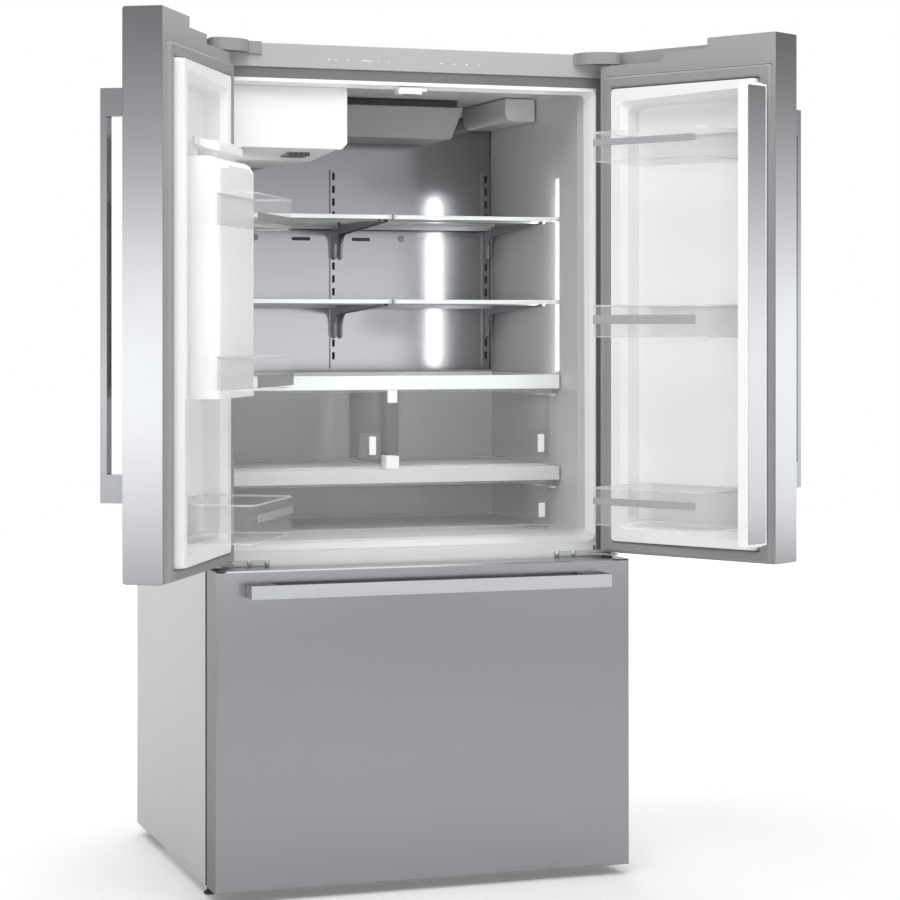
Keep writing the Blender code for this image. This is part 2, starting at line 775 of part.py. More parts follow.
def add_door_liner(body, side, word):
    wall = LINER_WALL
    base = DOOR_THICKNESS + GAP
    rings = [
        door_ring(side, (0.077 - wall, 0.752 - wall), (0.384 + wall, 1.640 + wall), RECESS_DEPTH - wall, 0.014),
        door_ring(side, (0.0704, 0.7454), (0.3906, 1.6466), base, 0.014),
        door_ring(side, (0.0360, 0.7120), (0.4125, 1.6815), base, 0.008),
        door_ring(side, (0.0410, 0.7160), (0.4090, 1.6770), RIM_AT_FREE + 0.004, 0.007),
        door_ring(side, (0.0500, 0.7310), (0.3890, 1.6630), RIM_AT_FREE + 0.004, 0.012),
        door_ring(side, (0.0735, 0.7480), (0.3880, 1.6440), base - 0.001, 0.015),
        door_ring(side, (0.0770, 0.7520), (0.3840, 1.6400), RECESS_DEPTH, 0.014),
    ]
    liner = piece(f"{word}_door_liner", body, rings, "white_plastic", smooth=True)
    slant = (RIM_AT_FREE - RIM_AT_HINGE) / (0.4095 - 0.040)
    wedge = (
        (0.0, RIM_AT_HINGE - 0.040 * slant),
        (0.450, RIM_AT_FREE + 0.0405 * slant),
        (0.450, 0.150),
        (0.0, 0.150),
    )
    cut(liner, body, [[door_point(side, u, v, z) for u, v in wedge] for z in (0.65, 1.75)])
    return liner


def add_gasket(body, side, word):
    outer = ((0.0160, 0.6905), (0.4445, 1.7065))
    inner = ((0.0355, 0.7112), (0.4180, 1.6830))
    slim = 0.004
    base = DOOR_THICKNESS + GAP
    tip = 0.0932
    narrow_outer = ((outer[0][0] + slim, outer[0][1] + slim), (outer[1][0] - slim, outer[1][1] - slim))
    narrow_inner = ((inner[0][0] - slim, inner[0][1] - slim), (inner[1][0] + slim, inner[1][1] + slim))
    rings = [
        door_ring(side, *outer, base, 0.005),
        door_ring(side, *outer, tip - 0.004, 0.005),
        door_ring(side, *narrow_outer, tip, 0.004),
        door_ring(side, *narrow_inner, tip, 0.008),
        door_ring(side, *inner, tip - 0.004, 0.006),
        door_ring(side, *inner, base, 0.006),
    ]
    piece(f"{word}_door_gasket", body, rings, "grey_rubber", closed=True, smooth=True)


def handle_profile(low, high):
    """The side of a bar handle: a bar with a post at each end, as place along it and depth."""
    face = -GAP
    return (
        (low, HANDLE_FACE),
        (high, HANDLE_FACE),
        (high, face),
        (high - HANDLE_POST, face),
        (high - HANDLE_POST, HANDLE_BACK),
        (low + HANDLE_POST, HANDLE_BACK),
        (low + HANDLE_POST, face),
        (low, face),
    )


def add_door_handle(body, side, word):
    outline = handle_profile(0.8375, 1.6220)
    rings = [
        [door_point(side, u, v, z) for z, v in outline] for u in (0.3975, 0.4255)
    ]
    piece(f"{word}_door_handle", body, rings, "stainless")


def add_bin(body, side, word, level, floor, top, back):
    low, high = sorted((side * (HALF - BIN_LOW_U), side * (HALF - BIN_HIGH_U)))
    rings = tub((low, back), (high, BIN_FRONT), floor, top, BIN_WALL, 0.012)
    return piece(f"{word}_bin_{level}", body, rings, "clear_plastic", smooth=True)


def add_dispenser(body, side, shell, liner):
    niche = ((NICHE_LOW_U, -0.01, NICHE_BOTTOM), (NICHE_HIGH_U, NICHE_DEPTH, NICHE_TOP))
    cut(shell, body, door_box(side, *niche))
    cut(liner, body, door_box(side, *niche))

    back = RECESS_DEPTH + GAP
    levels = (
        (COLUMN_BOTTOM, COLUMN_FACE),
        (COLUMN_TOP - 0.021, COLUMN_FACE),
        (COLUMN_TOP - 0.006, COLUMN_FACE - 0.008),
        (COLUMN_TOP, COLUMN_FACE - 0.020),
    )
    near, far = sorted((side * (HALF - COLUMN_LOW_U), side * (HALF - COLUMN_HIGH_U)))
    rings = [ring_across_z((near, back), (far, face), z, 0.018, 3) for z, face in levels]
    column = piece("dispenser_column", body, rings, "white_plastic", smooth=True)
    cut(column, body, door_box(side, (niche[0][0], 0.0, niche[0][2]), niche[1]))
    collar = [
        ring_across_z((side * (HALF - 0.150), 0.098), (side * (HALF - 0.300), 0.138), COLUMN_TOP - 0.002, 0.016, 3),
        ring_across_z((side * (HALF - 0.150), 0.098), (side * (HALF - 0.300), 0.138), COLUMN_TOP + 0.014, 0.016, 3),
        ring_across_z((side * (HALF - 0.125), 0.092), (side * (HALF - 0.325), 0.148), COLUMN_TOP + 0.020, 0.022, 3),
        ring_across_z((side * (HALF - 0.125), 0.092), (side * (HALF - 0.325), 0.148), COLUMN_TOP + 0.034, 0.022, 3),
    ]
    tilt_collar(collar)
    join(column, body, collar)
    chute = [
        circle(door_point(side, 0.225, v, 0.0), radius, 2, z, 12)
        for z, v, radius in ((NICHE_TOP - 0.03, 0.055, 0.021), (NICHE_TOP + 0.01, 0.075, 0.021), (COLUMN_TOP + 0.06, 0.120, 0.021))
    ]
    cut(column, body, chute)

    wall = 0.0025
    outer = ((NICHE_LOW_U + GAP, NICHE_BOTTOM + GAP), (NICHE_HIGH_U - GAP, NICHE_TOP - GAP))
    inner = (
        (outer[0][0] + wall, outer[0][1] + wall),
        (outer[1][0] - wall, outer[1][1] - wall),
    )
    bezel = ((0.1180, 1.0330), (0.3320, 1.5400))
    rings = [
        door_ring(side, *outer, NICHE_DEPTH - GAP, 0.012),
        door_ring(side, *outer, -GAP, 0.012),
        door_ring(side, *bezel, -GAP, 0.010),
        door_ring(side, *bezel, -0.0040, 0.010),
        door_ring(side, *inner, -0.0040, 0.010),
        door_ring(side, *inner, NICHE_DEPTH - GAP - wall, 0.010),
    ]
    recess = piece("dispenser_recess", body, rings, "grey_paint", smooth=True)
    cut(recess, body, chute)

    axis = door_point(side, 0.225, 0.088, 1.4040)
    paddle_body = add_body("dispenser_paddle_axis", body, axis)
    outline = (
        (0.0865, 1.4055),
        (0.0895, 1.4055),
        (0.0905, 1.3500),
        (0.0890, 1.2500),
        (0.0820, 1.2380),
        (0.0800, 1.2400),
        (0.0860, 1.2520),
        (0.0875, 1.3500),
    )
    rings = [[door_point(side, u, v, z) for v, z in outline] for u in (0.200, 0.250)]
    piece("dispenser_paddle", paddle_body, rings, "black_paint")


def tilt_collar(rings):
    """Tip the mouth of the chute collar down towards the inside of the cabinet."""
    for ring in rings[2:]:
        for point in ring:
            point.z -= 0.30 * (point.y - 0.120)


def add_flap(door, side, liner):
    axis = door_point(side, FLAP_AXIS_U, FLAP_AXIS_V, (FLAP_BOTTOM + FLAP_TOP) / 2)
    body = add_body("mullion_flap_axis", door, axis)
    rings = door_box(side, (FLAP_LOW_U, FLAP_FRONT, FLAP_BOTTOM), (DOOR_WIDTH, FLAP_REAR, FLAP_TOP))
    flap = piece("mullion_flap", body, rings, "white_plastic")
    knuckle = door_point(side, FLAP_AXIS_U, FLAP_AXIS_V, 0.0)
    collars = [turned(knuckle, 2, ((low, 0.0042), (high, 0.0042)), 10) for low, high in flap_collars()]
    join(flap, body, *collars)
    sockets = [
        turned(knuckle, 2, ((FLAP_BOTTOM - 0.01, 0.0024), (FLAP_BOTTOM + 0.012, 0.0024)), 8),
        turned(knuckle, 2, ((FLAP_TOP - 0.012, 0.0024), (FLAP_TOP + 0.01, 0.0024)), 8),
    ]
    cut(flap, body, *sockets)
    for low, high, pin in (
        (FLAP_BOTTOM - 0.0055, FLAP_BOTTOM - 0.0005, (FLAP_BOTTOM - 0.003, FLAP_BOTTOM + 0.010)),
        (FLAP_TOP + 0.0005, FLAP_TOP + 0.0055, (FLAP_TOP - 0.010, FLAP_TOP + 0.003)),
    ):
        arm = door_box(side, (0.4000, 0.1005, low), (0.4310, 0.1230, high))
        join(liner, door, arm)
        join(liner, door, turned(knuckle, 2, ((pin[0], 0.0019), (pin[1], 0.0019)), 8))


def flap_collars():
    """The two stretches of hinge tube on the flap, one at each end."""
    return ((FLAP_BOTTOM, FLAP_BOTTOM + 0.020), (FLAP_TOP - 0.020, FLAP_TOP))


def add_door(root, side, word, bins):
    axis = (side * (HALF - HINGE_INSET), HINGE_DEPTH, 1.23)
    body = add_body(f"{word}_door_axis", root, axis, turn=side * OPEN_ANGLE)
    shell = add_door_shell(body, side, word)
    liner = add_door_liner(body, side, word)
    add_gasket(body, side, word)
    add_door_handle(body, side, word)
    for level, (floor, top) in bins.items():
        shallow = side < 0 and level != "lower"
        back = COLUMN_FACE + 0.0015 if shallow else RECESS_DEPTH + 0.002
        item = add_bin(body, side, word, level, floor, top, back)
        if shallow:
            wing = door_box(side, (BIN_HIGH_U - BIN_WALL, 0.1120, floor), (BIN_HIGH_U - 0.0001, back + 0.02, top - 0.0001))
            join(item, body, wing)
    return body, shell, liner


# ---------------------------------------------------------------- freezer


def add_freezer(root):
    body = add_body("freezer_drawer_axis", root, (0.0, 0.04, 0.35))
    edge = 0.003
    front = [
        ring_across_y(HALF - edge, CASE_BOTTOM + edge, DRAWER_TOP - edge, 0.0),
        ring_across_y(HALF, CASE_BOTTOM, DRAWER_TOP, edge),
        ring_across_y(HALF, CASE_BOTTOM, DRAWER_TOP, DOOR_THICKNESS),
    ]
    piece("freezer_front", body, front, "stainless")

    rings = [
        [Vector((x, y, z)) for x, y in handle_profile(-0.3910, 0.3910)] for z in (0.6220, 0.6492)
    ]
    piece("freezer_handle", body, rings, "stainless")

    basket = tub((-0.3720, 0.0985), (0.3720, 0.4900), 0.0760, 0.4000, 0.003, 0.015)
    piece("freezer_basket", body, basket, "white_plastic", smooth=True)

    tray_body = add_body("freezer_tray_axis", body, (0.0, 0.230, 0.46))
    tray = tub((-0.3720, 0.1000), (0.3720, 0.3600), 0.4040, 0.5200, 0.003, 0.015)
    piece("freezer_tray", tray_body, tray, "clear_plastic", smooth=True)


# ---------------------------------------------------------------- whole


def open_reach(u, v):
    """The depth y of a point of a door at its open angle."""
    across = -(u - HINGE_INSET)
    along = v - HINGE_DEPTH
    return HINGE_DEPTH + across * math.sin(OPEN_ANGLE) + along * math.cos(OPEN_ANGLE)


def main():
    for item in list(bpy.data.objects):
        bpy.data.objects.remove(item)
    middle = (CASE_REAR + open_reach(DOOR_WIDTH, FLAP_REAR)) / 2
    root = add_body("refrigerator", None, (0.0, 0.0, 0.0))
    root.empty.location.y = -middle
    add_case(root)
    add_feet(root)
    add_hinges(root)
    add_back_wall(root)
    for level in SHELF_TOPS:
        for side, word in ((-1, "left"), (1, "right")):
            add_shelf(root, level, side, word)
    add_covers(root)
    add_drawers(root)
    add_ice_maker(root)
    add_top_units(root)
    add_compressor(root)
    left, shell, liner = add_door(root, -1, "left", LEFT_BINS)
    add_dispenser(left, -1, shell, liner)
    right, shell, liner = add_door(root, 1, "right", RIGHT_BINS)
    add_flap(right, 1, liner)
    add_freezer(root)


main()
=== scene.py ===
import math

import bmesh
import bpy
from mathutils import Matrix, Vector


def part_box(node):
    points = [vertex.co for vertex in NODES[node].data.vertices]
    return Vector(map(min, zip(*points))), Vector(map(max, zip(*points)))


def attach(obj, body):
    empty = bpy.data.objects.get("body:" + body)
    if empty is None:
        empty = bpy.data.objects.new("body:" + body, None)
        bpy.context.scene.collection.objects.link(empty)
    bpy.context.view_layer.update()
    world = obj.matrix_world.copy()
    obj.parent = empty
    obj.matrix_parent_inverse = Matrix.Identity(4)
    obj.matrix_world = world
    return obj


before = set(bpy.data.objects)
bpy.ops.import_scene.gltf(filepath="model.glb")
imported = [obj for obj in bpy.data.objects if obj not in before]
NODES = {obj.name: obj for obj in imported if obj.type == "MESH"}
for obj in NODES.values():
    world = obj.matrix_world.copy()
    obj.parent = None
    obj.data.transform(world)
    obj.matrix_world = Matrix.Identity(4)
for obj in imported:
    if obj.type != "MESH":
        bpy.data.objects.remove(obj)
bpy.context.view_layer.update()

# The layout of part.py, in metres: y here runs back from the drawer's front face.
HALF = 0.4525
PIN_X = HALF - 0.0148
PIN_Y = 0.0552
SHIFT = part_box("cabinet_shell")[1].y - 0.786
TURN = math.radians(120)
HEADER_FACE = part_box("control_header")[0].y - SHIFT


# ---------------------------------------------------------------- places


def cabinet(x, y, z):
    """A place on the case or on the freezer drawer."""
    return Vector((x, y + SHIFT, z))


def door(side):
    """Places on an open door: u from the hinge edge, v from the front face, z up."""
    cos, sin = math.cos(side * TURN), math.sin(side * TURN)

    def place(u, v, z):
        dx = side * (HALF - u) - side * PIN_X
        dy = v - PIN_Y
        x = side * PIN_X + dx * cos - dy * sin
        y = PIN_Y + dx * sin + dy * cos
        return cabinet(x, y, z)

    return place


LEFT = door(-1)
RIGHT = door(1)


# ---------------------------------------------------------------- materials


class Shader:
    """A Principled material with procedural detail in object coordinates."""

    def __init__(self, name, **sockets):
        self.material = bpy.data.materials.new(name)
        self.material.use_nodes = True
        self.nodes = self.material.node_tree.nodes
        self.links = self.material.node_tree.links
        self.bsdf = self.nodes["Principled BSDF"]
        for key, value in sockets.items():
            self.bsdf.inputs[key.replace("_", " ")].default_value = value
        self.coords = self.nodes.new("ShaderNodeTexCoord").outputs["Object"]
        self.last_bump = None

    def noise(self, scale, stretch=(1, 1, 1), detail=3.0, rough=0.55):
        """A noise value, and stretch squeezes it along each axis."""
        mapping = self.nodes.new("ShaderNodeMapping")
        mapping.inputs["Scale"].default_value = stretch
        self.links.new(self.coords, mapping.inputs["Vector"])
        texture = self.nodes.new("ShaderNodeTexNoise")
        texture.inputs["Scale"].default_value = scale
        texture.inputs["Detail"].default_value = detail
        texture.inputs["Roughness"].default_value = rough
        self.links.new(mapping.outputs["Vector"], texture.inputs["Vector"])
        return texture.outputs["Fac"]

    def ramp(self, fac, stops):
        ramp = self.nodes.new("ShaderNodeValToRGB")
        elements = ramp.color_ramp.elements
        while len(elements) < len(stops):
            elements.new(0.5)
        for element, (position, colour) in zip(elements, stops):
            element.position = position
            element.color = (*colour, 1.0)
        self.links.new(fac, ramp.inputs["Fac"])
        return ramp.outputs["Color"]

    def span(self, fac, low, high):
        """Spread the middle of a noise value over low..high."""
        node = self.nodes.new("ShaderNodeMapRange")
        node.inputs["To Min"].default_value = low
        node.inputs["To Max"].default_value = high
        node.inputs["From Min"].default_value = 0.3
        node.inputs["From Max"].default_value = 0.7
        self.links.new(fac, node.inputs["Value"])
        return node.outputs["Result"]

    def colour(self, fac, first, second):
        self.links.new(self.ramp(fac, ((0.3, first), (0.7, second))), self.bsdf.inputs["Base Color"])

    def rough(self, fac, low, high):
        self.links.new(self.span(fac, low, high), self.bsdf.inputs["Roughness"])

    def bump(self, fac, distance, strength=1.0):
        node = self.nodes.new("ShaderNodeBump")
        node.inputs["Distance"].default_value = distance
        node.inputs["Strength"].default_value = strength
        self.links.new(fac, node.inputs["Height"])
        if self.last_bump:
            self.links.new(self.last_bump, node.inputs["Normal"])
        self.last_bump = node.outputs["Normal"]
        self.links.new(self.last_bump, self.bsdf.inputs["Normal"])


# How far the brushed grain is squeezed along X, Y and Z: it runs level on panels and along each handle.
LEVEL = (5, 5, 1400)
ALONG_Z = (600, 600, 3)
ALONG_X = (3, 600, 600)


def brushed(name, light, dark, low, high, stretch=LEVEL):
    s = Shader(name, Metallic=1.0, Anisotropic=0.3)
    fine = s.noise(1.0, stretch, 2.0, 0.5)
    broad = s.noise(1.6, (1, 1, 1.4), 2.0)
    s.colour(fine, dark, light)
    s.rough(broad, low, high)
    s.bump(fine, 0.000004, 0.12)
    return s.material


def painted(name, first, second, low, high, grain=900, depth=0.00006, metallic=0.0, coat=0.0):
    s = Shader(name, Metallic=metallic, Coat_Weight=coat, Coat_Roughness=0.25)
    pebble = s.noise(grain, detail=2.0)
    broad = s.noise(3.0)
    s.colour(broad, first, second)
    s.rough(pebble, low, high)
    s.bump(pebble, depth, 0.6)
    return s.material


def moulded(name, first, second, low=0.30, high=0.36, grain=1400, depth=0.00002):
    s = Shader(name, IOR=1.5)
    s.bsdf.inputs["Subsurface Weight"].default_value = 0.06
    s.bsdf.inputs["Subsurface Radius"].default_value = (0.004, 0.004, 0.004)
    fine = s.noise(grain, detail=2.0)
    broad = s.noise(5.0)
    s.colour(broad, first, second)
    s.rough(s.noise(4.0, detail=2.0), low, high)
    s.bump(fine, depth, 0.5)
    return s.material


def clear(name, tint, alpha, low, high):
    s = Shader(name, IOR=1.49, Alpha=alpha)
    s.bsdf.inputs["Specular IOR Level"].default_value = 0.7
    s.colour(s.noise(6.0), tint, tuple(min(1.0, c * 1.06) for c in tint))
    s.rough(s.noise(30.0, detail=4.0), low, high)
    return s.material


def glowing(name, colour, strength):
    s = Shader(name, Roughness=0.4, Emission_Strength=strength)
    cells = s.noise(60.0, (1, 1, 0.4), 1.0)
    s.links.new(s.ramp(cells, ((0.2, colour), (0.8, (1, 1, 1)))), s.bsdf.inputs["Emission Color"])
    s.colour(cells, colour, (1, 1, 1))
    return s.material


MATS = {
    "steel": brushed("brushed_stainless", (0.335, 0.338, 0.349), (0.322, 0.325, 0.336), 0.17, 0.20),
    "handle": brushed("handle_stainless", (0.26, 0.265, 0.275), (0.24, 0.245, 0.255), 0.22, 0.28,
                      ALONG_Z),
    "handle_x": brushed("drawer_handle_stainless", (0.47, 0.475, 0.49), (0.44, 0.445, 0.46), 0.24, 0.30,
                        ALONG_X),
    "front": brushed("drawer_stainless", (0.314, 0.317, 0.328), (0.302, 0.305, 0.315), 0.17, 0.20),
    "flap": brushed("flap_stainless", (0.312, 0.312, 0.324), (0.300, 0.300, 0.312), 0.17, 0.20),
    "wall": brushed("wall_stainless", (0.235, 0.237, 0.248), (0.225, 0.227, 0.238), 0.13, 0.16),
    "case": painted("case_enamel", (0.50, 0.50, 0.50), (0.52, 0.52, 0.52), 0.38, 0.52,
                    grain=420, depth=0.0001),
    "flange": painted("front_edge_enamel", (0.143, 0.144, 0.146), (0.157, 0.158, 0.160), 0.36, 0.50),
    # Dark grey on the steel sides of the drawer front is a painted dark reflection.
    "side": painted("drawer_side_painted_reflection", (0.125, 0.122, 0.118), (0.140, 0.137, 0.133), 0.36, 0.50),
    "inner": painted("door_back_enamel", (0.31, 0.312, 0.315), (0.33, 0.332, 0.335), 0.36, 0.46),
    "cover": painted("hinge_cover_grey", (0.255, 0.257, 0.260), (0.283, 0.285, 0.288), 0.36, 0.48),
    # A darker copy of the white liner: painted shade inside the fresh food cavity, also used for the filter
    # housing.
    "liner_shade_and_filter": moulded("liner_painted_shade_and_filter_housing", (0.56, 0.548, 0.540), (0.59, 0.578, 0.57), 0.28, 0.36, grain=700),
    "header": painted("header_enamel", (0.385, 0.386, 0.388), (0.41, 0.411, 0.413), 0.34, 0.46),
    "shadow": painted("vent_shadow", (0.10, 0.10, 0.105), (0.13, 0.13, 0.135), 0.40, 0.50),
    "bracket": painted("bracket_steel", (0.22, 0.225, 0.235), (0.28, 0.285, 0.295), 0.28, 0.42,
                       metallic=0.7),
    "zinc": painted("zinc_plate", (0.48, 0.49, 0.50), (0.58, 0.59, 0.59), 0.30, 0.50,
                    grain=260, metallic=0.9),
    "black": painted("black_enamel", (0.015, 0.015, 0.016), (0.03, 0.03, 0.032), 0.35, 0.55),
    "white": moulded("white_plastic", (0.865, 0.863, 0.860), (0.880, 0.878, 0.875)),
    "liner": moulded("white_liner", (0.845, 0.838, 0.832), (0.865, 0.858, 0.852), 0.30, 0.38, grain=700),
    "grey": moulded("grey_plastic", (0.20, 0.20, 0.205), (0.23, 0.23, 0.235), 0.36, 0.50),
    "duct": moulded("duct_plastic", (0.31, 0.308, 0.305), (0.34, 0.338, 0.335), 0.40, 0.52),
    "pale": moulded("pale_grey_plastic", (0.62, 0.63, 0.64), (0.66, 0.67, 0.68), 0.30, 0.44),
    "gasket": moulded("gasket_rubber", (0.26, 0.26, 0.265), (0.28, 0.28, 0.285), 0.50, 0.62, grain=500),
    "blackplastic": moulded("black_plastic", (0.018, 0.018, 0.02), (0.03, 0.03, 0.032), 0.4, 0.55),
    "clear": clear("clear_plastic", (0.74, 0.75, 0.75), 0.07, 0.05, 0.09),
    "smoke": clear("smoke_plastic", (0.52, 0.52, 0.51), 0.11, 0.06, 0.10),
    "rim": clear("rim_plastic", (0.78, 0.79, 0.79), 0.30, 0.08, 0.14),
    "glass": clear("shelf_glass", (0.62, 0.66, 0.66), 0.12, 0.02, 0.05),
    "edge": clear("glass_edge", (0.86, 0.88, 0.88), 0.92, 0.14, 0.18),
    "rail": moulded("rail_enamel", (0.75, 0.755, 0.76), (0.78, 0.785, 0.79), 0.30, 0.44),
    # Grey of the deli cover's face, also painted shade on the top of the liner's front floor ledge.
    "trim_and_ledge_shade": moulded("deli_trim_and_ledge_shade", (0.63, 0.625, 0.62), (0.66, 0.655, 0.65), 0.26, 0.34),
    "band": clear("bin_band", (0.36, 0.365, 0.38), 0.96, 0.24, 0.27),
    # A darker copy of the bin band as painted shade on the left door's upper and middle bins.
    "band_shaded": clear("left_bin_band_painted_shade", (0.20, 0.20, 0.205), 0.92, 0.24, 0.27),
    "screen": painted("dark_glass", (0.012, 0.012, 0.014), (0.02, 0.02, 0.023), 0.05, 0.09, coat=0.6),
    "light": glowing("light_strip", (0.93, 0.97, 1.0), 1.5),
    "glow": glowing("light_strip_edge", (0.92, 0.95, 1.0), 0.35),
    "foam": moulded("foam", (0.56, 0.54, 0.49), (0.62, 0.60, 0.55), 0.8, 0.95, grain=200, depth=0.0004),
}


# ---------------------------------------------------------------- making pieces


CORNER_STEPS = 4


def shade(obj, bevel=0.0, segments=3, angle=35):
    """Smooth faces below an angle, and soften the sharp edges."""
    obj.data.shade_smooth()
    obj.data.set_sharp_from_angle(angle=math.radians(angle))
    if bevel:
        edge = obj.modifiers.new("edge", "BEVEL")
        edge.width = bevel
        edge.segments = segments
        edge.limit_method = "ANGLE"
        edge.angle_limit = math.radians(40)
        edge.harden_normals = True
        edge.use_clamp_overlap = True


def dress(names, material, bevel=0.0, segments=3, angle=35):
    """Give CAD nodes their finish and soft edges."""
    for name in names.split():
        obj = NODES[name]
        obj.data.materials.clear()
        obj.data.materials.append(MATS[material])
        shade(obj, bevel, segments, angle)


def repaint(name, material, chosen):
    """Give the faces of a CAD node that chosen picks, by world centre and normal, a second finish."""
    obj = NODES[name]
    obj.data.materials.append(MATS[material])
    for face in obj.data.polygons:
        centre = obj.matrix_world @ face.center
        centre.y -= SHIFT
        if chosen(centre, obj.matrix_world.to_3x3() @ face.normal):
            face.material_index = len(obj.data.materials) - 1


def loft(name, rings, material, body, closed=False, bevel=0.0, angle=35):
    """A skin over a row of rings, capped at both ends or closed on itself, riding on a body."""
    bm = bmesh.new()
    loops = [[bm.verts.new(p) for p in ring] for ring in rings]
    pairs = list(zip(loops, loops[1:])) + ([(loops[-1], loops[0])] if closed else [])
    for first, second in pairs:
        for i in range(len(first)):
            j = (i + 1) % len(first)
            bm.faces.new((first[i], first[j], second[j], second[i]))
    if not closed:
        bm.faces.new(list(reversed(loops[0])))
        bm.faces.new(loops[-1])
    bmesh.ops.recalc_face_normals(bm, faces=bm.faces)
    mesh = bpy.data.meshes.new(name)
    bm.to_mesh(mesh)
    bm.free()
    obj = bpy.data.objects.new(name, mesh)
    bpy.context.scene.collection.objects.link(obj)
    mesh.materials.append(MATS[material])
    shade(obj, bevel, 2, angle)
    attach(obj, body)


def rounded(low, high, radius):
    """The outline of a rectangle with round corners."""
    if radius <= 0:
        return [(low[0], low[1]), (high[0], low[1]), (high[0], high[1]), (low[0], high[1])]
    points = []
    for ca, cb, start in (
        (high[0] - radius, low[1] + radius, -90),
        (high[0] - radius, high[1] - radius, 0),
        (low[0] + radius, high[1] - radius, 90),
        (low[0] + radius, low[1] + radius, 180),
    ):
        for i in range(CORNER_STEPS + 1):
            t = math.radians(start + 90 * i / CORNER_STEPS)
            points.append((ca + radius * math.cos(t), cb + radius * math.sin(t)))
    return points


def ring(space, outline, axis, along):
    """A flat outline lifted into space at one place along an axis."""
    points = []
    for pair in outline:
        point = list(pair)
        point.insert(axis, along)
        points.append(space(*point))
    return points


def slab(name, space, low, high, axis, material, body, radius=0.0, bevel=0.0006):
    """A plate whose rounded outline faces along one axis."""
    flat = [i for i in range(3) if i != axis]
    outline = rounded([low[i] for i in flat], [high[i] for i in flat], radius)
    rings = [ring(space, outline, axis, along) for along in (low[axis], high[axis])]
    loft(name, rings, material, body, bevel=bevel)


def turned(name, space, centre, axis, profile, material, body, count=24, angle=35):
    """A round piece; profile pairs a place along the axis with a radius."""
    first, second = [i for i in range(3) if i != axis]
    rings = []
    for along, radius in profile:
        points = []
        for i in range(count):
            t = 2 * math.pi * i / count
            point = list(centre)
            point[axis] = along
            point[first] += radius * math.cos(t)
            point[second] += radius * math.sin(t)
            points.append(space(*point))
        rings.append(points)
    loft(name, rings, material, body, angle=angle)


def frame_ring(name, space, low, high, axis, section, material, body, radius):
    """A closed moulding round a rounded rectangle; section pairs an outward offset with a place along."""
    rings = []
    for out, along in section:
        grown = max(radius + out, 0.0005)
        a = [c - out for c in low]
        b = [c + out for c in high]
        rings.append(ring(space, rounded(a, b, grown), axis, along))
    loft(name, rings, material, body, closed=True)


def bead(out, along, radius, count=8):
    """A round section for frame_ring."""
    turns = [2 * math.pi * i / count for i in range(count)]
    return [(out + radius * math.cos(t), along + radius * math.sin(t)) for t in turns]


def screw(name, space, at, axis, size, body, toward):
    """A pan-head screw with a cross recess, standing on a face."""
    base = at[axis]
    profile = [
        (base - toward * 0.0005, size),
        (base + toward * size * 0.18, size),
        (base + toward * size * 0.42, size * 0.72),
        (base + toward * size * 0.46, size * 0.30),
        (base + toward * size * 0.22, size * 0.20),
    ]
    turned(name, space, at, axis, profile, "zinc", body, 16, 30)


# ---------------------------------------------------------------- finishes of the CAD nodes

dress("left_door_shell right_door_shell", "steel", 0.0012)
dress("freezer_front", "front", 0.0012)
dress("left_door_handle right_door_handle", "handle", 0.0022, 4)
dress("freezer_handle", "handle_x", 0.0022, 4)
dress("back_wall_panel", "wall", 0.0004, 2)
dress("cabinet_shell", "case", 0.0008, 2)
dress("centre_rail", "rail", 0.0008, 2)
dress("control_header", "header", 0.0006, 2)
dress("fresh_food_liner freezer_liner left_door_liner right_door_liner", "liner", angle=62)
dress("crisper_cover deli_cover ice_maker_housing dispenser_column freezer_basket", "white", 0.0012)
dress("ice_bin mullion_flap", "white", 0.0012)
dress("crisper_left crisper_right deli_drawer", "smoke", 0.0006, 2)
dress("freezer_tray left_bin_upper left_bin_middle left_bin_lower", "clear", 0.0006, 2)
dress("right_bin_upper right_bin_middle right_bin_lower", "clear", 0.0006, 2)
for place in ("upper_left", "upper_right", "lower_left", "lower_right"):
    dress(f"shelf_glass_{place}", "glass", 0.0005, 2)
    dress(f"shelf_bracket_{place}", "bracket", 0.0006, 2)
dress("crisper_cover_glass", "glass", 0.0005, 2)
dress("hinge_cover_left hinge_cover_right", "cover", 0.0014)
dress("dispenser_recess", "grey", 0.0010)
dress("air_duct", "duct", 0.0016)
dress("filter_housing", "liner_shade_and_filter", 0.0016)
dress("left_door_gasket right_door_gasket", "gasket", 0.0012, 3)
dress("roller_beam compressor", "black", 0.0008, 2)
dress("levelling_foot_left levelling_foot_right", "blackplastic", 0.0006, 2)
dress("rear_roller_left rear_roller_right", "blackplastic", 0.0006, 2)
dress("dispenser_paddle", "blackplastic", 0.0010)
dress("top_hinge_left top_hinge_right middle_hinge_left middle_hinge_right rear_panel", "zinc", 0.0004, 2)
dress("cabinet_insulation", "foam")
repaint("cabinet_shell", "flange", lambda at, way: way.y < -0.9 and at.y < 0.1)
# Behind its front lip the fresh food liner gets the darker copy as painted shade.
repaint("fresh_food_liner", "liner_shade_and_filter", lambda at, way: at.y > 0.125)
# The upward faces of the liner's floor ledge at the front get a darker grey as painted shade.
repaint("fresh_food_liner", "trim_and_ledge_shade", lambda at, way: at.y <= 0.125 and at.z < 0.76 and way.z > 0.3)
repaint("left_door_shell", "inner", lambda at, way: way.x > 0.8 and way.y < -0.4)
repaint("right_door_shell", "inner", lambda at, way: way.x < -0.8 and way.y < -0.4)
# The hidden back of the drawer handle is painted pale as painted light, so the drawer front reflects no dark
# line above the handle.
repaint("freezer_handle", "pale", lambda at, way: way.y > 0.9)
# The steel sides of the drawer front get the dark grey as a painted dark reflection.
repaint("freezer_front", "side", lambda at, way: abs(way.x) > 0.9)
repaint("crisper_cover", "smoke", lambda at, way: abs(at.x) < 0.0135 and at.z < 1.0340)


# ---------------------------------------------------------------- shared places

